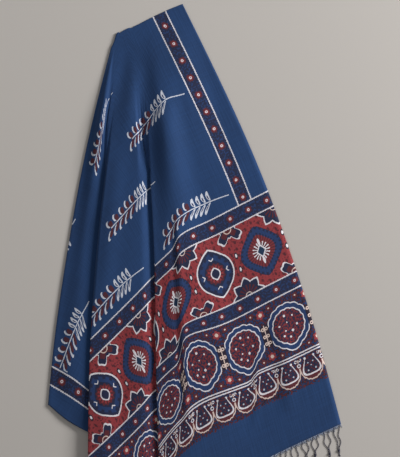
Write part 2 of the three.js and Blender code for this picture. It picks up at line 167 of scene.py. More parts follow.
# Soft creases in the panels that lie on top. panel: 0 right of the first pleat, 2 between the pleats,
# 4 left of the second, all every panel alike. start, end: in plan. All sizes are in millimetres.
CREASES = {
    "right edge roll": dict(panel=0, start=(176, 60), end=(205, -190), height=3.4, width=13),
    "right edge trough": dict(panel=0, start=(142, 70), end=(176, -200), height=-1.6, width=14),
    "upper right trough": dict(panel=0, start=(18, 570), end=(92, 290), height=-1.6, width=16),
    "upper middle roll": dict(panel=0, start=(-52, 540), end=(-2, 280), height=2.4, width=22),
    "print roll": dict(panel=0, start=(40, 150), end=(62, -220), height=2.2, width=20),
    "side panel trough": dict(panel=2, start=(-150, 60), end=(-158, -340), height=-2.0, width=15),
    "side panel roll": dict(panel=2, start=(-190, 10), end=(-196, -430), height=2.0, width=16),
    "upper left trough": dict(panel="all", start=(-140, 610), end=(-184, 380), height=-2.6, width=15),
    "upper left roll": dict(panel="all", start=(-122, 560), end=(-150, 380), height=2.6, width=15),
    "middle roll": dict(panel=2, start=(-158, 400), end=(-198, 40), height=4.5, width=20),
    "left trough": dict(panel=4, start=(-232, 330), end=(-262, 60), height=-1.2, width=9),
}

# Small tucks in panel 0, where the print jumps along the cloth. start, end: in plan. shift: how far
# the print moves, in metres, at even steps from start to end. The other sizes are in millimetres.
TUCKS = {
    "first tuck": dict(start=(-42, 215), end=(-22, -190), height=2.2, width=6,
                       shift=[0.012, 0.014, 0.008, 0.042, 0.026, 0.008]),
    "second tuck": dict(start=(128, -20), end=(122, -205), height=1.4, width=5,
                        shift=[0, 0.006, 0.013, 0.012, 0.009, 0.006]),
}

# How far to each side the print gives way beside a tuck, and the shares of its length over which
# it grows and fades
TUCK_REACH = 60 * MM
TUCK_STARTS = (-0.12, 0.05)
TUCK_ENDS = (0.9, 1.1)


def ease(a, b, value):
    """Goes smoothly from 0 where value is a to 1 where it is b."""
    f = np.clip((np.asarray(value, float) - a) / (b - a), 0, 1)
    return f * f * (3 - 2 * f)


def mix(a, b, f):
    return a + (b - a) * f


def unit(vectors):
    """Rows of vectors, each brought to length 1. Rows of zeros stay as they are."""
    return vectors / np.maximum(np.linalg.norm(vectors, axis=1, keepdims=True), 1e-12)


def running_length(points):
    """The distance from the first of a row of points to each of them."""
    return np.concatenate([[0], np.cumsum(np.linalg.norm(np.diff(points, axis=0), axis=1))])


def curve_through(knots, values, at):
    """A smooth curve through values at rising knots. values and at may be arrays."""
    values = [np.asarray(value, float) for value in values]
    last = len(knots) - 1
    slope = [(values[i + 1] - values[i]) / (knots[i + 1] - knots[i]) for i in range(last)]
    tangent = [None] * (last + 1)
    for i in range(1, last):
        before = knots[i] - knots[i - 1]
        after = knots[i + 1] - knots[i]
        tangent[i] = (slope[i - 1] * after + slope[i] * before) / (before + after)
    if last == 1:
        tangent = [slope[0], slope[0]]
    else:
        tangent[0] = 1.5 * slope[0] - 0.5 * tangent[1]
        tangent[last] = 1.5 * slope[last - 1] - 0.5 * tangent[last - 1]
    at = np.asarray(at, float)
    result = 0
    for k in range(last):
        low = -np.inf if k == 0 else knots[k]
        high = np.inf if k == last - 1 else knots[k + 1]
        here = (at > low) & (at <= high)
        width = knots[k + 1] - knots[k]
        x = (at - knots[k]) / width
        piece = (2 * x**3 - 3 * x**2 + 1) * values[k] + (x**3 - 2 * x**2 + x) * width * tangent[k]
        piece = piece + (3 * x**2 - 2 * x**3) * values[k + 1] + (x**3 - x**2) * width * tangent[k + 1]
        result = result + np.where(here, piece, 0)
    return result


def turn_of_line(line, t):
    """How far a line's pleat has turned over: 1 where the cloth runs on, -1 where it lies double."""
    return np.cos(np.pi * ease(*line["pleat"]["close"], t))


def place_of_line(line, t, column):
    """Where a fold line lies at t: column is plan or print."""
    closed = curve_through(STATION_T, line[column], t[:, None])
    if "beside" not in line:
        return closed
    neighbour = next(other for other in FOLD_LINES if other["name"] == line["beside"])
    beside = place_of_line(neighbour, t, column)
    turn = turn_of_line(line, t)[:, None]
    offset = np.array(line["offset"] if column == "plan" else line["print_offset"])
    return beside + offset * np.maximum(turn, 0) + (closed - beside) * np.maximum(-turn, 0)


def height_of_line(line, t, plan, side, half):
    """The height of the sheet's middle on a line, in metres, before or after its turn."""
    grown = ease(*line["pleat"]["rise"], plan[:, 1]) if "pleat" in line else ease(*PLAIN_RISE, t)
    if half == "back":
        return THICKNESS / 2 + LAYER_PITCH * line.get("back", (0, 0))[side] * grown
    drop = line.get("under_drop", line["drop"]) if side == UNDER else line["drop"]
    raised = 1 + (line["layer"][side] - 1) * grown
    dropped = mix(raised, line["foot"][side], ease(*drop, t))
    lift_high, lift_low = line.get("lift", (0, 0))
    high = ease(*RIDGE_START, t) * (1 - ease(*RIDGE_CHANGE, t)) * lift_high
    low = ease(*RIDGE_CHANGE, t) * (1 - ease(*RIDGE_END, t)) * lift_low
    return THICKNESS / 2 + LAYER_PITCH * dropped + (high + low) * MM


def panels_between_turns():
    """The panels between two turns, each a list of line numbers."""
    panels = [[0]]
    for index, line in enumerate(FOLD_LINES):
        if index > 0:
            panels[-1].append(index)
        if line.get("turn"):
            panels.append([index])
    return panels


def width_after(index):
    """The distance from a fold line to the next one at the rosette band, in millimetres."""
    here = np.array(FOLD_LINES[index]["plan"][BAND_STATION])
    after = np.array(FOLD_LINES[index + 1]["plan"][BAND_STATION])
    return np.linalg.norm(after - here)


class HalfSheet:
    """One half of the sheet's middle as a grid: rows along t, columns from right to left.

    Each point of the grid is x, y and z in metres, then u and v on the flat cloth. spots gives each
    column's place among the fold lines, and owners the number of its panel, or -1 within a turn.
    """

    def __init__(self, t, half, pitch, turn_steps):
        self.half = half
        self.pitch = pitch
        self.turn_steps = turn_steps
        self.place_lines(t)
        self.columns = []
        self.spots = []
        self.owners = []
        panels = panels_between_turns()
        for number, panel in enumerate(panels):
            self.add_panel(panel, number, turns_at_end=number < len(panels) - 1)
        self.grid = np.stack(self.columns, 1)
        self.grid[..., :2] -= FOOTPRINT_MIDDLE * MM
        self.spots = np.array(self.spots, float)
        self.owners = np.array(self.owners)

    def place_lines(self, t):
        """Works out where every fold line lies, on the plan and on the flat cloth."""
        last = len(FOLD_LINES) - 1
        self.line_t = [t] * (last + 1)
        if self.half == "back":
            short = [ease(last, last - BACK_SHORT_LINES, index) for index in range(last + 1)]
            self.line_t = [t * mix(1, BACK_END, share) for share in short]
        pairs = list(zip(FOLD_LINES, self.line_t))
        self.plans = [place_of_line(line, at, "plan") for line, at in pairs]
        self.prints = [place_of_line(line, at, "print") for line, at in pairs]
        if self.half == "back":
            for index, (line, place) in enumerate(zip(FOLD_LINES, self.prints)):
                mirrored = 2 * line["print"][0][1] - place[:, 1]
                place[:, 1] = mix(place[:, 1], mirrored, 1 - index / last)
            inset = BACK_SIDE_INSET * ease(*BACK_INSET_GROWS, t)
            self.plans[0] = self.plans[0] + unit(self.plans[1] - self.plans[0]) * inset[:, None]

    def height(self, index, side):
        return height_of_line(FOLD_LINES[index], self.line_t[index], self.plans[index], side, self.half)

    def openness(self, index):
        """1 where the turn on a line is still open, 0 where its pleat is half closed or more."""
        return np.maximum(turn_of_line(FOLD_LINES[index], self.line_t[index]), 0)

    def print_beside_turn(self, index, neighbour):
        """The print where a panel starts or ends beside a turn that has not closed yet."""
        apart = np.linalg.norm(self.plans[neighbour] - self.plans[index], axis=1)
        share = OPEN_TURN_SPREAD / 2 * self.openness(index) / np.maximum(apart, LEAST_DISTANCE)
        share = np.minimum(share, LARGEST_SHARE)
        return mix(self.prints[index], self.prints[neighbour], share[:, None])

    def add_column(self, spot, owner, plan, z, flat):
        self.columns.append(np.column_stack([plan * MM, z, flat]))
        self.spots.append(spot)
        self.owners.append(owner)

    def add_panel(self, panel, number, turns_at_end):
        """The columns of one panel, and of the turn at its end."""
        points = [self.plans[index] for index in panel]
        marks = [self.prints[index] for index in panel]
        travel = unit(points[1] - points[0])
        arrive = unit(points[-1] - points[-2])
        if number > 0:
            points[0] = points[0] + travel * (OPEN_TURN_SPREAD / 2 * self.openness(panel[0]))[:, None]
            marks[0] = self.print_beside_turn(panel[0], panel[1])
        if turns_at_end:
            points[-1] = points[-1] - arrive * (OPEN_TURN_SPREAD / 2 * self.openness(panel[-1]))[:, None]
            marks[-1] = self.print_beside_turn(panel[-1], panel[-2])
        heights = [self.height(index, UNDER) for index in panel[:-1]] + [self.height(panel[-1], OVER)]
        knots = [0]
        for index in panel[:-1]:
            knots.append(knots[-1] + width_after(index))
        for place, index in enumerate(panel[:-1]):
            steps = max(LEAST_COLUMNS, round(width_after(index) / self.pitch))
            for step in range(min(place, 1), steps + 1):
                f = step / steps
                at = mix(knots[place], knots[place + 1], f)
                z = mix(heights[place], heights[place + 1], ease(0, 1, f))
                plan = curve_through(knots, points, at)
                self.add_column(index + f, number, plan, z, curve_through(knots, marks, at))
        if turns_at_end:
            self.add_turn(panel[-1], arrive, marks[-1])

    def add_turn(self, index, arrive, mark_before):
        """The columns within a turn, which lies flat while it is open and is round once it is closed."""
        turn = turn_of_line(FOLD_LINES[index], self.line_t[index])
        mark_after = self.print_beside_turn(index, index + 1)
        over = self.height(index, OVER)
        under = self.height(index, UNDER)
        radius = np.abs(over - under) / 2 / MM
        for step in range(1, self.turn_steps):
            angle = math.pi * step / self.turn_steps
            spread = OPEN_TURN_SPREAD * (step / self.turn_steps - 0.5) * np.maximum(turn, 0)
            bulge = radius * math.sin(angle) * np.maximum(-turn, 0)
            plan = self.plans[index] + arrive * (spread + bulge)[:, None]
            z = (over + under) / 2 + (over - under) / 2 * math.cos(angle)
            self.add_column(index, -1, plan, z, mix(mark_before, mark_after, step / self.turn_steps))


def place_beside(x, y, crease):
    """How far along a crease places lie, from 0 to 1, and how far to its side, in metres."""
    start = np.array(crease["start"]) * MM
    run = np.array(crease["end"]) * MM - start
    length = np.linalg.norm(run)
    run = run / length
    along = ((x - start[0]) * run[0] + (y - start[1]) * run[1]) / length
    across = (x - start[0]) * -run[1] + (y - start[1]) * run[0]
    return along, across


def press_tuck(grid, x, y, tuck, share):
    """Raises one side of a tuck, lowers the other, and moves the print across it."""
    along, across = place_beside(x, y, tuck)
    ends = ease(*TUCK_STARTS, along) * (1 - ease(*TUCK_ENDS, along))
    side = across / (tuck["width"] * MM)
    step = np.tanh(side) * np.exp(-((across / TUCK_REACH) ** 2)) * ends * share
    knots = list(np.linspace(0, 1, len(tuck["shift"])))
    grid[..., 4] += step * curve_through(knots, tuck["shift"], np.clip(along, 0, 1)) / 2
    grid[..., 2] += tuck["height"] * MM * side * np.exp(0.5 - side * side / 2) * ends * share


def crease_height(x, y, crease):
    """A crease's height at places in metres: rounded across, and fading towards both its ends."""
    along, across = place_beside(x, y, crease)
    fade = np.sin(np.pi * np.clip(along, 0, 1)) ** 0.7
    return crease["height"] * MM * fade * np.exp(-((across / (crease["width"] * MM)) ** 2))


def smooth_ripple(x, y):
    """A gentle unevenness of hand-laid cloth, in metres, the same through all the layers."""
    broad = np.sin(9 * x + 3.1 * y + 0.6) * np.sin(7.3 * y - 2.2 * x + 1.1)
    fine = np.sin(31 * x - 11 * y + 2.0) * np.sin(23 * y + 9 * x)
    return 0.7 * MM * broad + 0.35 * MM * fine


def smooth_near_shoulder(grid, t):
    """Evens out the heights across each row while the pleats have not closed yet."""
    reach = np.arange(-SMOOTH_REACH, SMOOTH_REACH + 1)
    kernel = np.exp(-((reach / (SMOOTH_REACH / 2)) ** 2))
    for row, weight in zip(grid, 1 - ease(*SMOOTH_ENDS, t)):
        if weight <= 0:
            continue
        across = running_length(row[:, :2])
        even = np.arange(0, across[-1], SMOOTH_STEP)
        levels = np.pad(np.interp(even, across, row[:, 2]), SMOOTH_REACH, mode="edge")
        smoothed = np.convolve(levels, kernel / kernel.sum(), mode="valid")
        inner = ease(*SMOOTH_FROM_EDGE, np.minimum(across, across[-1] - across)) * weight
        row[:, 2] = mix(row[:, 2], np.interp(across, even, smoothed), inner)


def add_unevenness(sheet, t):
    """Presses the creases and ripples into a half of the sheet, and fades them out at its edges."""
    grid = sheet.grid
    columns = grid.shape[1]
    near_fold = np.minimum(1, (columns - 1 - np.arange(columns)) / FADING_COLUMNS)
    settle = ease(*UNEVEN_STARTS, t)[:, None] * (1 - ease(*UNEVEN_ENDS, t))[:, None] * near_fold
    x = grid[..., 0].copy()
    y = grid[..., 1].copy()
    smooth_near_shoulder(grid, t)
    grid[..., 2] += smooth_ripple(x, y) * settle
    for tuck in TUCKS.values():
        press_tuck(grid, x, y, tuck, (sheet.owners == 0) * settle)
    for crease in CREASES.values():
        chosen = np.ones(columns) if crease["panel"] == "all" else sheet.owners == crease["panel"]
        grid[..., 2] += crease_height(x, y, crease) * chosen * settle


def numbered(grid, first=0):
    """The number of each point of a grid, counted from first."""
    return first + np.arange(grid[..., 0].size).reshape(grid.shape[:2])


def grid_faces(index):
    """The quads of a grid of point numbers."""
    corners = [index[:-1, :-1], index[:-1, 1:], index[1:, 1:], index[1:, :-1]]
    return np.stack([corner.ravel() for corner in corners], 1)


def rounded_fold(front, back, front_index, back_index):
    """The fold that joins the halves, along the shoulder and then down the left side.

    Returns the points between the halves, a row for each step round the fold, and the faces.
    """
    rows, columns = front_index.shape
    path = [(0, i) for i in range(columns)] + [(j, columns - 1) for j in range(1, rows)]
    ranks = np.arange(len(back.spots))
    # Columns of a turn share one spot, so a little is added to keep the spots rising
    rising = front.spots + SPOT_STEP * np.arange(columns)
    under = np.round(np.interp(rising, back.spots + SPOT_STEP * ranks, ranks))
    lower_path = [(round(j * BACK_ROWS / FRONT_ROWS), int(under[i])) for j, i in path]
    top = np.array([front.grid[place] for place in path])
    bottom = np.array([back.grid[place] for place in lower_path])
    tangent = unit(np.gradient(top[:, :2], axis=0))
    outward = np.stack([tangent[:, 1], -tangent[:, 0]], 1)
    radius = (top[:, 2] - bottom[:, 2]) / 2
    blocks = []
    rings = [[int(front_index[place]) for place in path]]
    total = front_index.size + back_index.size
    for step in range(1, RIM_STEPS):
        angle = math.pi * step / RIM_STEPS
        ring = top.copy()
        ring[:, :2] += outward * (radius * math.sin(angle))[:, None]
        ring[:, 2] = bottom[:, 2] + radius * (1 + math.cos(angle))
        blocks.append(ring)
        rings.append(list(range(total, total + len(path))))
        total += len(path)
    rings.append([int(back_index[place]) for place in lower_path])
    faces = []
    for upper, lower in zip(rings[:-1], rings[1:]):
        for k in range(len(path) - 1):
            corners = [upper[k], lower[k], lower[k + 1], upper[k + 1]]
            faces.append(tuple(dict.fromkeys(corners)))
    return blocks, faces


def cloth_surface():
    """The sheet's middle: points with their places on the flat cloth, and faces."""
    t_front = np.linspace(0, 1, FRONT_ROWS + 1)
    t_back = np.linspace(0, 1, BACK_ROWS + 1)
    front = HalfSheet(t_front, "front", FRONT_PITCH, FRONT_TURN_STEPS)
    back = HalfSheet(t_back, "back", BACK_PITCH, BACK_TURN_STEPS)
    add_unevenness(front, t_front)
    front_index = numbered(front.grid)
    back_index = numbered(back.grid, front_index.size)
    polygons = [tuple(face) for face in grid_faces(front_index).tolist()]
    polygons += [tuple(face) for face in grid_faces(back_index)[:, ::-1].tolist()]
    rim_blocks, rim_faces = rounded_fold(front, back, front_index, back_index)
    blocks = [front.grid.reshape(-1, 5), back.grid.reshape(-1, 5)] + rim_blocks
    return np.concatenate(blocks), polygons + rim_faces


def mesh_object(name, points, faces):
    """A smooth-shaded mesh object from plain arrays."""
    mesh = bpy.data.meshes.new(name)
    mesh.from_pydata([tuple(point) for point in points], [], faces)
    mesh.update()
    mesh.polygons.foreach_set("use_smooth", [True] * len(mesh.polygons))
    piece = bpy.data.objects.new(name, mesh)
    bpy.context.scene.collection.objects.link(piece)
    return piece


def surface_normals(points, polygons):
    """The mean normal at each point of a surface of triangles and quads."""
    normals = np.zeros((len(points), 3))
    for size in (3, 4):
        faces = np.array([face for face in polygons if len(face) == size]).reshape(-1, size)
        diagonal = points[faces[:, 2]] - points[faces[:, 0]]
        other = points[faces[:, -1]] - points[faces[:, 1]]
        for corner in range(size):
            np.add.at(normals, faces[:, corner], np.cross(diagonal, other))
    return unit(normals)


def open_edges(polygons):
    """The edges that belong to one face only, each in the direction in which its face runs."""
    edges = {}
    for face in polygons:
        for a, b in zip(face, face[1:] + face[:1]):
            if (b, a) in edges:
                del edges[(b, a)]
            else:
                edges[(a, b)] = True
    return list(edges)


def thick_sheet(name, surface, polygons):
    """A closed sheet round a middle surface, with the flat cloth's metres as its UV map."""
    points = surface[:, :3]
    half = surface_normals(points, polygons) * THICKNESS / 2
    count = len(points)
    both = np.concatenate([points + half, points - half])
    both[:, 2] = np.maximum(both[:, 2], 0)
    faces = list(polygons)
    faces += [tuple(corner + count for corner in reversed(face)) for face in polygons]
    faces += [(b, a, a + count, b + count) for a, b in open_edges(polygons)]
    piece = mesh_object(name, both, faces)
    flat = np.concatenate([surface[:, 3:5], surface[:, 3:5]])
    corners = np.zeros(len(piece.data.loops), np.int32)
    piece.data.loops.foreach_get("vertex_index", corners)
    layer = piece.data.uv_layers.new(name=CLOTH_UV)
    layer.uv.foreach_set("vector", flat[corners].astype(np.float32).ravel())
    return piece


def material(name):
    made = bpy.data.materials.new(name)
    made.use_nodes = True
    return made, made.node_tree.nodes["Principled BSDF"]


# The sockets of a mix node that mix colours: the share of the upper one, the lower, the upper, the result
MIX_SHARE = 0
MIX_LOWER = 6
MIX_UPPER = 7
MIX_RESULT = 2


class Wire:
    """A number in a node tree, so that a print can be written as plain sums."""

    def __init__(self, tree, socket):
        self.tree = tree
        self.socket = socket

    def math(self, operation, *others):
        node = self.tree.nodes.new("ShaderNodeMath")
        node.operation = operation
        for place, value in enumerate((self,) + others):
            if isinstance(value, Wire):
                self.tree.links.new(value.socket, node.inputs[place])
            else:
                node.inputs[place].default_value = value
        return Wire(self.tree, node.outputs[0])

    def __add__(self, other):
        return self.math("ADD", other)

    def __sub__(self, other):
        return self.math("SUBTRACT", other)

    def __mul__(self, other):
        return self.math("MULTIPLY", other)

    def __truediv__(self, other):
        return self.math("DIVIDE", other)


def size_of(wire):
    return wire.math("ABSOLUTE")


def at_least(wire, least):
    return wire.math("MAXIMUM", least)


def power(wire, exponent):
    return wire.math("POWER", exponent)


def sine(wire):
    return wire.math("SINE")


def cosine(wire):
    return wire.math("COSINE")


def below(wire, limit):
    return wire.math("LESS_THAN", limit)


def above(wire, limit):
    return wire.math("GREATER_THAN", limit)


def between(wire, low, high):
    return above(wire, low) * below(wire, high)


def near(wire, middle, reach):
    return wire.math("COMPARE", middle, reach)


def centred(wire, pitch):
    """The distance to the nearest of a row of marks at 0, pitch, 2 pitch and so on."""
    return wire.math("WRAP", pitch / 2, -pitch / 2)


def radius(a, b):
    return (a * a + b * b).math("SQRT")


def bearing(a, b):
    """The angle of a place from the b axis."""
    return a.math("ARCTAN2", b)


def polar(a, b):
    return radius(a, b), bearing(a, b)


def oval(a, b, middle_a, middle_b, half_a, half_b):
    """1 on the rim of an oval, and less inside it."""
    return radius((a - middle_a) / half_a, (b - middle_b) / half_b)


def drawn_tip(from_tip, width, sharpness):
    """1 where a motif is drawn out to a tip, falling to 0 at an angle of width from it."""
    return power(at_least(from_tip / -width + 1, 0), sharpness)


def either(*masks):
    whole = masks[0]
    for mask in masks[1:]:
        whole = at_least(whole, mask)
    return whole


def dye(red, green, blue):
    """A colour given by its screen values from 0 to 255."""
    return tuple((channel / 255) ** 2.2 for channel in (red, green, blue)) + (1,)


# The dyes of the print
INDIGO = dye(36, 66, 110)
NAVY = dye(38, 44, 72)
DARK = dye(44, 34, 50)
RING_BLUE = dye(40, 62, 106)
RED = dye(150, 59, 64)
MAROON = dye(94, 42, 50)
SPRIG_WHITE = dye(212, 216, 228)
LEAF_BLUE = dye(58, 62, 98)
BERRY = dye(84, 44, 54)
DULL_RED = dye(128, 52, 58)
DIAMOND_BLUE = dye(32, 56, 84)
SPOT_BLUE = dye(190, 200, 214)
RESIST_WHITE = dye(232, 228, 234)
CREAM = dye(224, 200, 190)

# The dyes of the yarns and of the frayed ends, each with that of its streaks
YARN_DYES = [dye(50, 48, 66), dye(74, 76, 100)]
FRAY_DYES = [dye(140, 152, 176), dye(182, 190, 206)]


class Paint:
    """Dyes laid over one another, each where its mask is 1."""

    def __init__(self, tree, ground):
        self.tree = tree
        node = tree.nodes.new("ShaderNodeRGB")
        node.outputs[0].default_value = ground
        self.socket = node.outputs[0]

    def lay(self, colour, mask):
        node = self.tree.nodes.new("ShaderNodeMix")
        node.data_type = "RGBA"
        node.inputs[MIX_UPPER].default_value = colour
        self.tree.links.new(mask.socket, node.inputs[MIX_SHARE])
        self.tree.links.new(self.socket, node.inputs[MIX_LOWER])
        self.socket = node.outputs[MIX_RESULT]

    def discs(self, distance, zone, rows):
        """Lays discs over one another. Each row has a dye and how far it reaches."""
        for colour, reach in rows:
            self.lay(colour, below(distance, reach) * zone)

    def ring(self, colour, distance, start, end, zone):
        self.lay(colour, between(distance, start, end) * zone)

    def mottled(self, zone, speckle, ground, over, under=None):
        """Lays a ground with one more dye where the speckle is high, and one where it is low."""
        self.lay(ground, zone)
        self.lay(over[0], above(speckle, over[1]) * zone)
        if under:
            self.lay(under[0], below(speckle, under[1]) * zone)


# All the sizes and places of the print are in metres on the flat cloth.
# How far the edges of the print wander, where the print of the back half starts, and the middle of
# the cloth's length
PRINT_WANDER = 0.0016
PRINT_TURN = -0.455
CLOTH_MIDDLE = 0.52 - CLOTH_LENGTH / 2

# Where the bands of the printed end lie, measured from its head
DOT_BAND = 0.034
MEDALLION_END = 0.180
ROSETTE_START = 0.212
ROSETTE_END = 0.342
ARCH_START = 0.349
ARCH_END = 0.413

# The side border, measured from the selvedge, and the rows of ring dots
SIDE_BORDER = (0.04, 0.07)
SIDE_DOT_PITCH = 0.039
BAND_DOT_PITCH = 0.0436
DOT_RIM = 0.0086
DOT_DISCS = [(MAROON, 0.0064), (DULL_RED, 0.0052), (RESIST_WHITE, 0.0029), (RED, 0.0012)]

# Where the first motif of each kind lies, measured from the right selvedge
FIRST_SQUARE = 0.057
FIRST_POINTED = 0.167
FIRST_STAR = 0.002
FIRST_LOBES = 0.112
FIRST_BAND_DOT = 0.010
FIRST_ROSETTE = 0.051
FIRST_ORNAMENT = 0.1035
FIRST_CUP = 0.0285

# The beaded lines, and the plain ones that close the lower border
LINE_HALF = 0.0015
BEAD_PITCH = 0.0042
PLAIN_LINE_HALF = 0.0013


def beaded_line(paint, across, place, along, zone):
    """A thin white line with slanted beads on it."""
    beads = above(sine((along + across) * (2 * math.pi / BEAD_PITCH)), -0.3)
    thread = near(across, place, LINE_HALF * 0.5)
    paint.lay(RESIST_WHITE, either(thread, near(across, place, LINE_HALF) * beads) * zone)


def ring_dot(paint, distance, speckle, zone):
    """A small red disc with a broken dark rim and a white ring round a red point."""
    paint.lay(MAROON, below(distance, DOT_RIM) * above(speckle, 0.50) * zone)
    paint.discs(distance, zone, DOT_DISCS)


def from_selvedge(u):
    return u.math("MINIMUM", u * -1 + CLOTH_WIDTH)


def side_border(paint, u, v, speckle):
    """The dotted border along both selvedges, above the printed end."""
    inset = from_selvedge(u)
    field = below(v, 0)
    paint.mottled(between(inset, *SIDE_BORDER) * field, speckle, NAVY, (RING_BLUE, 0.55))
    across = inset - sum(SIDE_BORDER) / 2
    ring_dot(paint, radius(across, centred(v + 0.012, SIDE_DOT_PITCH)), speckle, field)
    for place in SIDE_BORDER:
        beaded_line(paint, inset, place, v, field)


# A sprig: its length, the rows and columns that it repeats in, and where the first ones lie
SPRIG_LENGTH = 0.18
SPRIG_ROWS = 0.115
SPRIG_PITCH = 0.29
FIRST_SPRIG_ROW = -0.030
FIRST_SPRIG = 0.081
SPRIG_FIELD_END = -0.004
SPRIG_FIELD_SIDE = 0.074

# How the stalk arches, how the leaves slant from it and get shorter towards its end, and where the
# leaves start and end along it
SPRIG_ARCH = 0.008
STALK_HALF = 0.0011
STALK_SHARE = 0.93
LEAF_SLANT = 0.45
LEAF_SKEW = 0.42
LEAF_SHRINK = 2.6
LEAF_SCALE = 1.12
CRESCENT_EXTRA = 0.16
NEAR_LEAVES = {"start": 0.0383, "end": 0.0855, "first": 0.0442, "pitch": 0.0118, "bend": 22}
FAR_LEAVES = {"start": 0.0886, "end": 0.1776, "first": 0.0975, "pitch": 0.0178}

# The ovals that make up the leaves: their middles, along the stalk and away from it, and half sizes
NEAR_LEAF = (0, 0.0124, 0.0037, 0.0106)
NEAR_HOLLOW = (0.0005, 0.0098, 0.0014, 0.0050)
BERRY_OVAL = (-0.0044, 0.0108, 0.0056, 0.0092)
CRESCENT = (0, 0.0150, 0.0050, 0.0104)
CRESCENT_CUT = (-0.0036, 0.0136, 0.0050, 0.0098)


def sprigs(paint, u, v):
    """Curved sprigs in rows that are shifted by half a repeat: slim leaves with a small hollow near
    the stalk, then white crescents round dark berries."""
    rows = (v - FIRST_SPRIG_ROW) / SPRIG_ROWS
    across = centred(v - FIRST_SPRIG_ROW, SPRIG_ROWS)
    odd = size_of(centred(rows.math("ROUND"), 2))
    from_first = u - odd * (SPRIG_PITCH / 2) - FIRST_SPRIG
    s = from_first.math("FLOORED_MODULO", SPRIG_PITCH)
    w = across + sine(s * (math.pi / SPRIG_LENGTH)) * SPRIG_ARCH
    reach = size_of(w)
    field = below(v, SPRIG_FIELD_END) * above(from_selvedge(u), SPRIG_FIELD_SIDE) * above(from_first, 0)
    slid = s - reach * LEAF_SLANT - w * LEAF_SKEW
    # Heights are scaled up towards the sprig's end, so that its leaves get shorter there
    level = reach / (slid * -LEAF_SHRINK + LEAF_SCALE)

    nearer = between(slid, NEAR_LEAVES["start"], NEAR_LEAVES["end"]) * field
    bend = (level - NEAR_LEAF[1]) * (level - NEAR_LEAF[1]) * NEAR_LEAVES["bend"]
    bent = centred(slid - NEAR_LEAVES["first"], NEAR_LEAVES["pitch"]) + bend
    paint.lay(SPRIG_WHITE, below(oval(bent, level, *NEAR_LEAF), 1) * nearer)
    paint.lay(LEAF_BLUE, below(oval(bent, level, *NEAR_HOLLOW), 1) * nearer)

    further = between(slid, FAR_LEAVES["start"], FAR_LEAVES["end"]) * field
    x = centred(slid - FAR_LEAVES["first"], FAR_LEAVES["pitch"])
    paint.lay(BERRY, below(oval(x, level, *BERRY_OVAL), 1) * further)
    # Crescents on the side that leans more are wider along the stalk, so that both sides look alike
    x = x / (above(w, 0) * CRESCENT_EXTRA + 1)
    cut = above(oval(x, level, *CRESCENT_CUT), 1)
    paint.lay(SPRIG_WHITE, below(oval(x, level, *CRESCENT), 1) * cut * further)
    paint.lay(SPRIG_WHITE, below(reach, STALK_HALF) * below(s, SPRIG_LENGTH * STALK_SHARE) * field)


def dot_bands(paint, u, v, speckle):
    """The two narrow bands of ring dots, above and below the medallions."""
    upper = size_of(v - DOT_BAND / 2)
    lower = size_of(v - (MEDALLION_END + ROSETTE_START) / 2)
    middle = upper.math("MINIMUM", lower)
    zone = below(middle, DOT_BAND / 2)
    paint.mottled(zone, speckle, NAVY, (RING_BLUE, 0.55))
    ring_dot(paint, radius(middle, centred(u - FIRST_BAND_DOT, BAND_DOT_PITCH)), speckle, zone)


MEDALLION_MIDDLE = 0.1075
MEDALLION_PITCH = 0.22


def square_medallion(paint, u, v, zone):
    """A square with two drawn-out corners: a toothed blue ring round a rayed flower."""
    a = centred(u - FIRST_SQUARE, MEDALLION_PITCH)
    b = v - MEDALLION_MIDDLE
    r, angle = polar(a, b)
    tip = drawn_tip(bearing(size_of(a), size_of(b)), 0.5, 1.4)
    lobed = r / (cosine(angle * 4) * 0.05 + tip * 0.14 + 1)
    toothed = above(sine(angle * 30), 0) * zone
    paint.discs(lobed, zone, [(NAVY, 0.0452), (RING_BLUE, 0.0440)])
    paint.ring(NAVY, lobed, 0.0400, 0.0440, toothed)
    paint.ring(NAVY, lobed, 0.0295, 0.0335, toothed)
    paint.discs(lobed, zone, [(DULL_RED, 0.0298)])
    paint.ring(MAROON, lobed, 0.0200, 0.0298, toothed)
    paint.discs(r, zone, [(MAROON, 0.0175)])
    paint.ring(RESIST_WHITE, r, 0.0090, 0.0195, above(sine(angle * 16), 0.35) * zone)
    petal = oval(a, size_of(b), 0, 0.0200, 0.0027, 0.0075)
    paint.lay(RESIST_WHITE, below(petal, 1) * zone)
    diamond = size_of(a) / 0.0112 + size_of(b) / 0.0150
    paint.discs(diamond, zone, [(RESIST_WHITE, 1), (DIAMOND_BLUE, 0.74)])


def pointed_medallion(paint, u, v, zone):
    """A round medallion with two pointed tips, white outlined, with a flower in it."""
    a = centred(u - FIRST_POINTED, MEDALLION_PITCH)
    b = v - MEDALLION_MIDDLE
    r, angle = polar(a, b)
    outline = r / (drawn_tip(bearing(size_of(a), size_of(b)), 0.66, 1.5) * 0.24 + 1)
    spokes = sine(angle * 13)
    paint.discs(outline, zone, [(RESIST_WHITE, 0.0430), (NAVY, 0.0400)])
    paint.ring(RING_BLUE, outline, 0.0245, 0.0350, zone)
    paint.ring(NAVY, outline, 0.0305, 0.0350, below(spokes, -0.2) * zone)
    petals = r + spokes * 0.0014
    paint.discs(petals, zone, [(MAROON, 0.0210)])
    paint.ring(RED, petals, 0.0125, 0.0185, above(spokes, -0.1) * zone)
    paint.discs(outline, zone, [(RESIST_WHITE, 0.0112), (NAVY, 0.0088)])
    # Four short white strokes between the flower and the ring
    for along, across, place in ((b, a, 0.0275), (a, b, 0.0255)):
        stroke = near(size_of(along) - size_of(across) * 0.8 - place, 0, 0.0013)
        paint.lay(RESIST_WHITE, stroke * below(size_of(across), 0.0052) * zone)


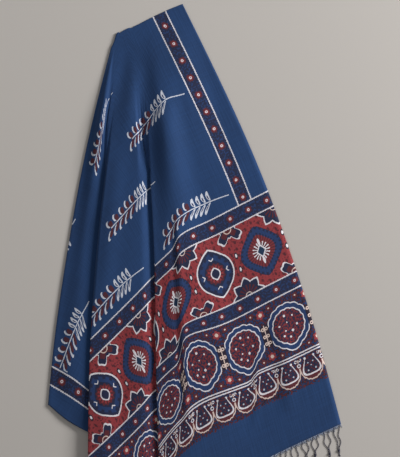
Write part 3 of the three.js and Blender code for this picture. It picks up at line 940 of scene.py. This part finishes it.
def edge_motifs(paint, u, v, zone):
    """Half stars and crossed lobes that stand on both edges of the medallion band, by turns."""
    from_middle = size_of(v - MEDALLION_MIDDLE)
    inward = from_middle * -1 + (MEDALLION_END - DOT_BAND) / 2
    shifted = u - above(v, MEDALLION_MIDDLE) * (MEDALLION_PITCH / 2)

    r, angle = polar(centred(shifted - FIRST_STAR, MEDALLION_PITCH), inward)
    valley = size_of(centred(angle, math.pi / 4)) / (math.pi / 8)
    star = r / (valley * -0.0110 + 0.0405)
    paint.discs(star, zone, [(RESIST_WHITE, 1), (NAVY, 0.905)])
    paint.ring(MAROON, r, 0.0090, 0.0230, above(cosine(angle * 16), 0.1) * zone)
    paint.ring(CREAM, r, 0.0062, 0.0080, zone)

    r, angle = polar(centred(shifted - FIRST_LOBES, MEDALLION_PITCH), inward)
    lobes = r / (cosine(angle * 4) * -0.0095 + cosine(angle * 12) * 0.0024 + 0.0268)
    paint.discs(lobes, zone, [(RESIST_WHITE, 1), (NAVY, 0.89), (MAROON, 0.60)])
    paint.ring(CREAM, r, 0.0075, 0.0095, zone)

    a = centred(u - FIRST_STAR, MEDALLION_PITCH / 2)
    seed = oval(a, from_middle, 0, 0.0150, 0.0040, 0.0072)
    paint.discs(seed, zone, [(DARK, 1), (RESIST_WHITE, 0.55)])


def medallion_band(paint, u, v, speckle):
    """The widest band: medallions of two kinds on a red ground with dark flecks."""
    zone = between(v, DOT_BAND, MEDALLION_END)
    paint.lay(RED, zone)
    flecks = radius(centred(u + 0.003, 0.0155), centred(v + u * 0.45, 0.0142) * 0.7)
    paint.discs(flecks, zone, [(MAROON, 0.0026)])
    paint.lay(MAROON, above(speckle, 0.61) * zone)
    edge_motifs(paint, u, v, zone)
    square_medallion(paint, u, v, zone)
    pointed_medallion(paint, u, v, zone)


ROSETTE_PITCH = 0.105
ROSETTE_MIDDLE = 0.277

# Seeds in a rosette: their place from its middle and their size
ROSETTE_SEEDS = [
    (0.004, -0.023, 0.0026),
    (-0.013, -0.017, 0.0018),
    (0.020, -0.006, 0.0021),
    (0.002, -0.008, 0.0015),
    (-0.018, 0.004, 0.0024),
    (0.009, 0.008, 0.0017),
    (-0.006, 0.013, 0.0027),
    (0.015, 0.017, 0.0023),
    (0.002, 0.024, 0.0022),
]


def rosettes(paint, u, v, speckle, zone):
    """Scalloped double rings, pointed below, with a dark mottled middle and scattered seeds."""
    a = centred(u - FIRST_ROSETTE, ROSETTE_PITCH)
    b = v - ROSETTE_MIDDLE
    r, angle = polar(a, b)
    tip = drawn_tip(bearing(size_of(a), b), 0.55, 1.5)
    scalloped = r / (size_of(sine(angle * 8)) * 0.045 + tip * 0.17 + 0.965)
    paint.discs(scalloped, zone, [(RESIST_WHITE, 0.0482), (RING_BLUE, 0.0459), (RESIST_WHITE, 0.0372)])
    inside = below(scalloped, 0.0348) * zone
    paint.mottled(inside, speckle, MAROON, (DULL_RED, 0.54), (NAVY, 0.47))
    seeds = [below(radius(a - seed_a, b - seed_b), size) for seed_a, seed_b, size in ROSETTE_SEEDS]
    paint.lay(RESIST_WHITE, either(*seeds) * inside)


def ornament_columns(paint, u, v, zone):
    """Columns of curls between the rosettes, with a flower and two side buds at both ends."""
    a = centred(u - FIRST_ORNAMENT, ROSETTE_PITCH)
    b = v - ROSETTE_MIDDLE
    column = below(size_of(b), 0.024) * zone
    paint.discs(size_of(a), column, [(DARK, 0.0095)])
    paint.ring(CREAM, radius(size_of(a) - 0.0040, centred(b, 0.016)), 0.0016, 0.0038, column)
    paint.discs(size_of(a), column, [(CREAM, 0.0010)])
    flower_b = size_of(b) - 0.047
    flower, angle = polar(a, flower_b)
    petals = size_of(cosine(angle * 3)) * 0.0028 + 0.0068
    paint.discs(flower, zone, [(RED, petals), (CREAM, petals * 0.45)])
    bud = radius(size_of(a) - 0.0215, flower_b - 0.006)
    paint.discs(bud, zone, [(MAROON, 0.0058), (CREAM, 0.0018)])


def rosette_band(paint, u, v, speckle):
    """Rosettes on a dark mottled ground, with columns of little ornaments between them."""
    zone = between(v, ROSETTE_START, ROSETTE_END)
    paint.mottled(zone, speckle, DARK, (MAROON, 0.56), (RING_BLUE, 0.46))
    rosettes(paint, u, v, speckle, zone)
    ornament_columns(paint, u, v, zone)


ARCH_PITCH = 0.052
ARCH_DEPTH = 0.0600
RAGGED_END = 0.022

# Places in a cup are metres from its middle and shares of the border's depth. Spots have a size too.
CUP_TIP = (0.0100, 0.13)
CUP_SPOTS = [(0.0058, 0.32, 0.0015), (0.0086, 0.58, 0.0019), (0, 0.44, 0.0013)]


def cup_distance(a, w, middle_a, middle_w):
    return radius(a - middle_a, (w - middle_w) * ARCH_DEPTH)


def cups(paint, a, w, speckle, zone):
    """Cups with curled tips over toothed scallops. a is across from a cup's middle, w is down."""
    # The cup: wide and flat below, drawn in towards its two curled tips
    across = a / (w * 0.0275 + 0.0064)
    deep = at_least(w - 0.34, 0) / 0.41
    cup = power(power(across, 3) + power(deep, 3), 1 / 3)
    # The scallop under it, which meets its neighbours half way
    teeth = sine(a * (2 * math.pi / 0.0075)) * 0.02
    scallop = radius(a / 0.0264, at_least(w - 0.44, 0) / 0.49) + teeth
    paint.discs(scallop, above(cup, 1) * above(w, 0.34) * zone, [(MAROON, 1)])
    paint.ring(CREAM, scallop, 0.94, 1.03, above(w, 0.40) * zone)
    below_tips = above(w, CUP_TIP[1]) * zone
    paint.ring(RESIST_WHITE, cup, 0.89, 1.02, below_tips)
    paint.discs(cup_distance(a, w, *CUP_TIP), zone, [(RESIST_WHITE, 0.0024)])
    inside = below(cup, 0.89) * below_tips
    paint.lay(NAVY, below(speckle, 0.52) * inside)
    for spot_a, spot_w, size in CUP_SPOTS:
        paint.discs(cup_distance(a, w, spot_a, spot_w), inside, [(SPOT_BLUE, size)])


def stems(paint, a, w, speckle, zone):
    """Stems half way between the cups: a ring with two curls above it."""
    ring = cup_distance(a, w, ARCH_PITCH / 2, 0.30)
    paint.ring(RESIST_WHITE, ring, 0.0022, 0.0042, zone)
    from_stem = size_of(a - ARCH_PITCH / 2)
    curls = cup_distance(from_stem, w, 0.0050, 0.12)
    paint.ring(RESIST_WHITE, curls, 0.0014, 0.0034, below(speckle, 0.56) * zone)
    paint.discs(from_stem, between(w, 0.08, 0.20) * zone, [(CREAM, 0.0010)])


def arch_border(paint, u, v, speckle):
    """The lower border: cups that hang from a double line, with a crowned stem between them."""
    zone = above(v, ROSETTE_END) * below(v, (speckle - 0.5) * RAGGED_END + ARCH_END)
    paint.mottled(zone, speckle, DARK, (MAROON, 0.55), (RING_BLUE, 0.44))
    a = size_of(centred(u - FIRST_CUP, ARCH_PITCH))
    w = (v - ARCH_START) / ARCH_DEPTH
    cups(paint, a, w, speckle, zone)
    stems(paint, a, w, speckle, zone)
    double = [near(v, place, PLAIN_LINE_HALF) for place in (ROSETTE_END, ARCH_START - 0.0012)]
    paint.lay(RESIST_WHITE, either(*double))


def band_lines(paint, u, v):
    """The white beaded lines between the bands."""
    everywhere = above(v, -0.01)
    for place in (0.0005, DOT_BAND, MEDALLION_END, ROSETTE_START):
        beaded_line(paint, v, place, u, everywhere)


def noise(tree, coordinates, scale, detail, stretch=(1, 1, 1)):
    """Soft random values around one half, as a number and as a colour."""
    mapping = tree.nodes.new("ShaderNodeMapping")
    mapping.inputs["Scale"].default_value = stretch
    tree.links.new(coordinates, mapping.inputs["Vector"])
    node = tree.nodes.new("ShaderNodeTexNoise")
    node.inputs["Scale"].default_value = scale
    node.inputs["Detail"].default_value = detail
    tree.links.new(mapping.outputs["Vector"], node.inputs["Vector"])
    return node.outputs


def parts_of(tree, socket):
    """The three parts of a place or a colour."""
    node = tree.nodes.new("ShaderNodeSeparateXYZ")
    tree.links.new(socket, node.inputs[0])
    return [Wire(tree, output) for output in node.outputs]


# How many times per metre the dye, the threads, the print's edges, its speckle and the yarns' streaks vary
BLOTCH_SCALE = 9
THREAD_SCALE = 300
WANDER_SCALE = 330
SPECKLE_SCALE = 230
STREAK_SCALE = 420

# How deep the weave looks on the cloth and on the yarns, and how little it varies along a thread
CLOTH_WEAVE_DEPTH = 0.0006
YARN_WEAVE_DEPTH = 0.0003
THREAD_STRETCH = 0.05


def fabric_finish(tree, shader, coordinates, colour_socket, weave_depth):
    """Weave, slubs and uneven dye over a colour, the same on every cloth part."""
    blotch = Wire(tree, noise(tree, coordinates, BLOTCH_SCALE, 3)["Fac"])
    warp = Wire(tree, noise(tree, coordinates, THREAD_SCALE, 1, (1, THREAD_STRETCH, 1))["Fac"])
    weft = Wire(tree, noise(tree, coordinates, THREAD_SCALE, 1, (THREAD_STRETCH, 1, 1))["Fac"])
    threads = warp + weft
    shade = blotch * 0.40 + threads * 0.28 + 0.53
    tinted = tree.nodes.new("ShaderNodeMix")
    tinted.data_type = "RGBA"
    tinted.blend_type = "MULTIPLY"
    tinted.inputs[MIX_SHARE].default_value = 1
    tree.links.new(colour_socket, tinted.inputs[MIX_LOWER])
    tree.links.new(shade.socket, tinted.inputs[MIX_UPPER])
    tree.links.new(tinted.outputs[MIX_RESULT], shader.inputs["Base Color"])
    bump = tree.nodes.new("ShaderNodeBump")
    bump.inputs["Strength"].default_value = 0.55
    bump.inputs["Distance"].default_value = weave_depth
    tree.links.new(threads.socket, bump.inputs["Height"])
    tree.links.new(bump.outputs["Normal"], shader.inputs["Normal"])
    shader.inputs["Roughness"].default_value = 0.86
    shader.inputs["Specular IOR Level"].default_value = 0.25
    shader.inputs["Sheen Weight"].default_value = 0.12
    shader.inputs["Sheen Roughness"].default_value = 0.6


def printed_cloth_material():
    """The block print on indigo cotton, drawn on the flat cloth in metres."""
    made, shader = material("printed_cotton")
    tree = made.node_tree
    uv_map = tree.nodes.new("ShaderNodeUVMap")
    uv_map.uv_map = CLOTH_UV
    flat = uv_map.outputs["UV"]
    wander = parts_of(tree, noise(tree, flat, WANDER_SCALE, 1)["Color"])
    place = parts_of(tree, flat)
    u = (wander[0] - 0.5) * PRINT_WANDER + place[0]
    along = (wander[1] - 0.5) * PRINT_WANDER + place[1]
    # Both ends carry the print, so places past the shoulder count from the other end
    past = below(along, PRINT_TURN)
    v = past * (along * -2 + 2 * CLOTH_MIDDLE) + along
    speckle = Wire(tree, noise(tree, flat, SPECKLE_SCALE, 1)["Fac"])
    paint = Paint(tree, INDIGO)
    sprigs(paint, u, v)
    for lay_band in (side_border, dot_bands, medallion_band, rosette_band, arch_border):
        lay_band(paint, u, v, speckle)
    band_lines(paint, u, v)
    fabric_finish(tree, shader, flat, paint.socket, CLOTH_WEAVE_DEPTH)
    return made


def yarn_material(name, base, streak_colour):
    """Dyed cotton yarn."""
    made, shader = material(name)
    tree = made.node_tree
    where = tree.nodes.new("ShaderNodeTexCoord").outputs["Object"]
    paint = Paint(tree, base)
    streak = Wire(tree, noise(tree, where, STREAK_SCALE, 2)["Fac"])
    paint.lay(streak_colour, above(streak, 0.56))
    fabric_finish(tree, shader, where, paint.socket, YARN_WEAVE_DEPTH)
    return made


# The fringe: a tassel is two twisted strands that draw together in a knot and end in a small tuft.
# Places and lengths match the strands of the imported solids, and the yarns are finer.
# Sizes are in millimetres, and places along a strand are shares of its length.
TASSEL_PITCH = 25
STRAND_LENGTH = 52
STRAND_LENGTH_CHANGE = 7
STRAND_ROOT_SPREAD = 5.5
STRAND_STATIONS = [0, 0.3, 0.6, 0.8, 1]
STRAND_SPREADS = [5.5, 5.0, 3.4, 1.9, 1.1]
STRAND_STEPS = 34
STRAND_LEAN = 0.1
STRAND_LEAN_CHANGE = 0.09
STRAND_WAVE = 3.0
PLY_RADIUS = 0.46
PLY_SIDES = 6
TWIST_RADIUS = 0.40
TWIST_PITCH = 6.5
STRAND_HEIGHT = PLY_RADIUS + TWIST_RADIUS
KNOT_AT = 0.89
KNOT_RADIUS = 0.78
KNOT_TURNS = 2.6
KNOT_STEPS = 30
KNOT_REACH = 1.9
KNOT_RISE = 1.2
KNOT_LENGTH = 4.2
TUFT_HAIRS = 12
TUFT_LENGTH = 8
TUFT_SWING = 0.8
TUFT_RADII = (0.6, 0.2)
WISP_PITCH = 0.7
WISP_LENGTH = 7
WISP_RADII = (0.5, 0.2)
WISP_ROOT_INSIDE = 0.6
WISP_HEIGHT = 0.5
ROOT_INSIDE = 1

# Lengths and leans change by turns: how far the wave goes on from one tassel to the next
LEAN_STEP = 2.3
LENGTH_STEP = 1.7

# A path rises steeply where its own height makes up more than this share of its direction
STEEP = 0.9

# The last stretch of the sheet, which gives the hem its direction
HEM_T = np.array([0.992, 1.0])

# Where tassels beside the first pleat lie on the cloth below them, in the fold table's own frame
PLEAT_LAP = {"from": -85, "to": 12, "height": 5.7}

# The looks of a fringe's mesh, in the order of its materials
YARN_LOOK = 0
FRAY_LOOK = 1

# One row for each fringe: its name, its half of the cloth, where it starts and ends among the fold
# lines, and whether it lies on the first pleat
FRINGES = [
    ("front_fringe_right", "front", 0, 3, True),
    ("front_fringe_left", "front", 4.99, 7, False),
    ("back_fringe_right", "back", 0, 2.6, False),
    ("back_fringe_left", "back", 4.99, 6.7, False),
]


def frame_along(path):
    """The directions right of a path and above it, at each of its points."""
    along = unit(np.gradient(path, axis=0))
    level = np.where(np.abs(along[:, 2:3]) > STEEP, [[1.0, 0, 0]], [[0, 0, 1.0]])
    right = unit(np.cross(along, level))
    return right, np.cross(right, along)


class Yarns:
    """Many thin tubes that are gathered into one mesh."""

    def __init__(self):
        self.points = []
        self.faces = []
        self.looks = []

    def tube(self, path, radii, sides, look=YARN_LOOK):
        path = np.asarray(path, float)
        radii = np.broadcast_to(radii, len(path))
        right, up = frame_along(path)
        start = len(self.points)
        for place, across, rise, thick in zip(path, right, up, radii):
            for side in range(sides):
                angle = 2 * math.pi * side / sides
                self.points.append(place + thick * (across * math.cos(angle) + rise * math.sin(angle)))
        for ring in range(len(path) - 1):
            for side in range(sides):
                after = (side + 1) % sides
                low = start + ring * sides
                self.faces.append((low + side, low + sides + side, low + sides + after, low + after))
        last = start + (len(path) - 1) * sides
        self.faces.append(tuple(range(start, start + sides)))
        self.faces.append(tuple(reversed(range(last, last + sides))))
        self.looks += [look] * (len(self.faces) - len(self.looks))


def twisted_strand(yarns, path):
    """Two plies that wind round one another along a path."""
    right, up = frame_along(path)
    phase = running_length(path) / TWIST_PITCH * 2 * math.pi
    for start in (0, math.pi):
        swing = np.cos(phase + start)[:, None] * right + np.sin(phase + start)[:, None] * up
        yarns.tube(path + TWIST_RADIUS * swing, PLY_RADIUS, PLY_SIDES)


def knot(yarns, middle, down, across):
    """A strand wound round both strands of a tassel."""
    turns = np.linspace(0, KNOT_TURNS * 2 * math.pi, KNOT_STEPS)
    path = []
    for turn in turns:
        reach = KNOT_REACH * across * math.cos(turn) + np.array([0, 0, KNOT_RISE * math.sin(turn)])
        path.append(middle + reach + down * (turn / turns[-1] * KNOT_LENGTH - KNOT_LENGTH / 2))
    yarns.tube(path, KNOT_RADIUS, PLY_SIDES)


def tuft(yarns, tip, down, across, chance):
    """Loose fibre ends below a knot."""
    for hair in range(TUFT_HAIRS):
        swing = (hair / (TUFT_HAIRS - 1) - 0.5) * TUFT_SWING + chance.uniform(-0.12, 0.12)
        length = TUFT_LENGTH * chance.uniform(0.55, 1)
        steps = np.linspace(0, 1, 6)
        path = np.array([tip + down * length * f + across * length * swing * f**1.5 for f in steps])
        path[:, 2] = mix(tip[2], chance.uniform(0.35, 0.9), steps)
        yarns.tube(path, mix(*TUFT_RADII, steps), 4)


class Hem:
    """One stretch of a hem, in millimetres: the places along it, and what its fringe rests on."""

    def __init__(self, half, spot_from, spot_to, on_pleat):
        pitch = FRONT_PITCH if half == "front" else BACK_PITCH
        sheet = HalfSheet(HEM_T, half, pitch, FRONT_TURN_STEPS)
        chosen = (sheet.spots >= spot_from) & (sheet.spots <= spot_to) & (sheet.owners >= 0)
        before, self.foot = sheet.grid[:, chosen, :3] / MM
        self.reach = running_length(self.foot)
        self.out = unit(self.foot[:, :2] - before[:, :2])
        self.length = self.reach[-1]
        self.on_pleat = on_pleat

    def place_at(self, distance):
        """The place at a distance along the hem, and the direction out of the cloth there."""
        point = np.array([np.interp(distance, self.reach, column) for column in self.foot.T])
        way = np.array([np.interp(distance, self.reach, column) for column in self.out.T] + [0])
        return point, way / np.linalg.norm(way)

    def rest_at(self, x):
        """The height of what lies below the fringe."""
        lapped = self.on_pleat and PLEAT_LAP["from"] < x + FOOTPRINT_MIDDLE[0] < PLEAT_LAP["to"]
        return PLEAT_LAP["height"] if lapped else 0

    def resting(self, place, height):
        """A place moved to a height above what lies below the fringe."""
        return np.array([place[0], place[1], self.rest_at(place[0]) + height])


def tassel(yarns, hem, number, distance, chance):
    """Two wavy strands that draw together, their knot and their tuft."""
    lean = STRAND_LEAN + STRAND_LEAN_CHANGE * math.sin(LEAN_STEP * number)
    down = np.array([math.sin(lean), -math.cos(lean), 0])
    across = np.array([-down[1], down[0], 0])
    length = STRAND_LENGTH + STRAND_LENGTH_CHANGE * math.sin(LENGTH_STEP * number + 1)
    middle = hem.place_at(distance)[0]
    f = np.linspace(0, 1, STRAND_STEPS)
    for side in (-1, 1):
        root, out = hem.place_at(distance + side * STRAND_ROOT_SPREAD)
        stations = [root - out * ROOT_INSIDE]
        for share, spread in list(zip(STRAND_STATIONS, STRAND_SPREADS))[1:]:
            spot = middle + down * share * length - across * side * spread
            stations.append(hem.resting(spot, STRAND_HEIGHT))
        path = curve_through(STRAND_STATIONS, stations, f[:, None])
        phase = chance.uniform(0, 2 * math.pi)
        sway = STRAND_WAVE * np.sin(f * 2 * math.pi * chance.uniform(1, 2) + phase)
        path += (sway * np.sin(np.pi * np.minimum(f / KNOT_AT, 1)))[:, None] * across
        path[:, 2] = np.maximum(path[:, 2], STRAND_HEIGHT)
        twisted_strand(yarns, path)
    knot_place = hem.resting(middle + down * length * KNOT_AT, KNOT_RISE + KNOT_RADIUS)
    knot(yarns, knot_place, down, across)
    tuft(yarns, hem.resting(middle + down * length, STRAND_HEIGHT), down, across, chance)


def wisp(yarns, hem, distance, chance):
    """One frayed thread that stands out of the hem."""
    place, out = hem.place_at(distance)
    away = out + np.array([chance.uniform(-0.7, 0.9), 0, 0])
    reach = WISP_LENGTH * chance.uniform(0.4, 1.1)
    steps = np.linspace(0, 1, 5)
    path = np.array([place - out * WISP_ROOT_INSIDE + away * reach * f for f in steps])
    bottom = max(hem.rest_at(place[0]) + WISP_HEIGHT, place[2] - WISP_HEIGHT)
    path[:, 2] = mix(place[2] + WISP_HEIGHT, bottom, steps)
    yarns.tube(path, mix(*WISP_RADII, steps), 3, FRAY_LOOK)


def fringe(name, half, spot_from, spot_to, on_pleat):
    """The knotted fringe of one stretch of a hem, between two places among the fold lines."""
    hem = Hem(half, spot_from, spot_to, on_pleat)
    chance = random.Random(len(name) * 7 + 1)
    yarns = Yarns()
    count = int((hem.length - 2 * STRAND_ROOT_SPREAD) // TASSEL_PITCH) + 1
    start = (hem.length - (count - 1) * TASSEL_PITCH) / 2
    for number in range(count):
        tassel(yarns, hem, number, start + number * TASSEL_PITCH, chance)
    for number in range(int(hem.length / WISP_PITCH)):
        wisp(yarns, hem, number * WISP_PITCH + chance.uniform(0, WISP_PITCH), chance)
    piece = mesh_object(name, np.array(yarns.points) * MM, yarns.faces)
    piece.data.polygons.foreach_set("material_index", yarns.looks)
    return piece


cloth_points, cloth_polygons = cloth_surface()
cloth = thick_sheet("printed_cloth", cloth_points, cloth_polygons)
cloth.data.materials.append(printed_cloth_material())
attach(cloth, "root")
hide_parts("cloth")
yarn_looks = [yarn_material("fringe_yarn", *YARN_DYES), yarn_material("frayed_ends", *FRAY_DYES)]
for name, half, spot_from, spot_to, on_pleat in FRINGES:
    piece = fringe(name + "_yarns", half, spot_from, spot_to, on_pleat)
    for look in yarn_looks:
        piece.data.materials.append(look)
    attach(piece, "root")
    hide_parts(name)

# The camera: over this place in the fold table's own frame, in millimetres, and this far up, in
# metres. One pixel of the picture takes in 2.13 millimetres of the floor.
CAMERA_OVER = np.array([8.5, 209.8])
CAMERA_HEIGHT = 2.6
PICTURE_HEIGHT_PIXELS = 457
PIXEL_SIZE = 2.13 * MM

# The lamps: where each one hangs, its size, and its power in watts. All of them point at one place.
LAMPS = {
    "key": dict(place=(3.8, 2.0, 1.9), size=1.6, power=235),
    "fill": dict(place=(-1.4, 1.2, 2.2), size=2, power=7),
}
LAMP_TARGET = (0, 0.1, 0)

FLOOR_SIZE = 8
FLOOR_HEIGHT = -0.3 * MM
FLOOR_COLOUR = (0.64, 0.60, 0.56, 1)
SKY_STRENGTH = 0.16


def add_camera():
    data = bpy.data.cameras.new("camera")
    data.sensor_fit = "VERTICAL"
    data.angle_y = 2 * math.atan(PICTURE_HEIGHT_PIXELS * PIXEL_SIZE / 2 / CAMERA_HEIGHT)
    camera = bpy.data.objects.new("camera", data)
    camera.location = (*((CAMERA_OVER - FOOTPRINT_MIDDLE) * MM), CAMERA_HEIGHT)
    bpy.context.scene.collection.objects.link(camera)
    bpy.context.scene.camera = camera


def add_lamp(name, place, size, power):
    data = bpy.data.lights.new(name, "AREA")
    data.shape = "RECTANGLE"
    data.size = size
    data.size_y = size
    data.energy = power
    lamp = bpy.data.objects.new(name, data)
    lamp.location = place
    lamp.rotation_euler = (Vector(LAMP_TARGET) - Vector(place)).to_track_quat("-Z", "Y").to_euler()
    bpy.context.scene.collection.objects.link(lamp)


def add_floor():
    bpy.ops.mesh.primitive_plane_add(size=FLOOR_SIZE)
    floor = bpy.context.object
    floor.name = "floor"
    floor.location.z = FLOOR_HEIGHT
    look, shader = material("floor")
    shader.inputs["Base Color"].default_value = FLOOR_COLOUR
    floor.data.materials.append(look)


def add_sky():
    world = bpy.context.scene.world or bpy.data.worlds.new("world")
    bpy.context.scene.world = world
    world.use_nodes = True
    sky = world.node_tree.nodes["Background"].inputs
    sky["Color"].default_value = (1, 1, 1, 1)
    sky["Strength"].default_value = SKY_STRENGTH


add_camera()
for name, lamp in LAMPS.items():
    add_lamp(name, **lamp)
add_floor()
add_sky()
bpy.context.scene.view_settings.view_transform = "Standard"
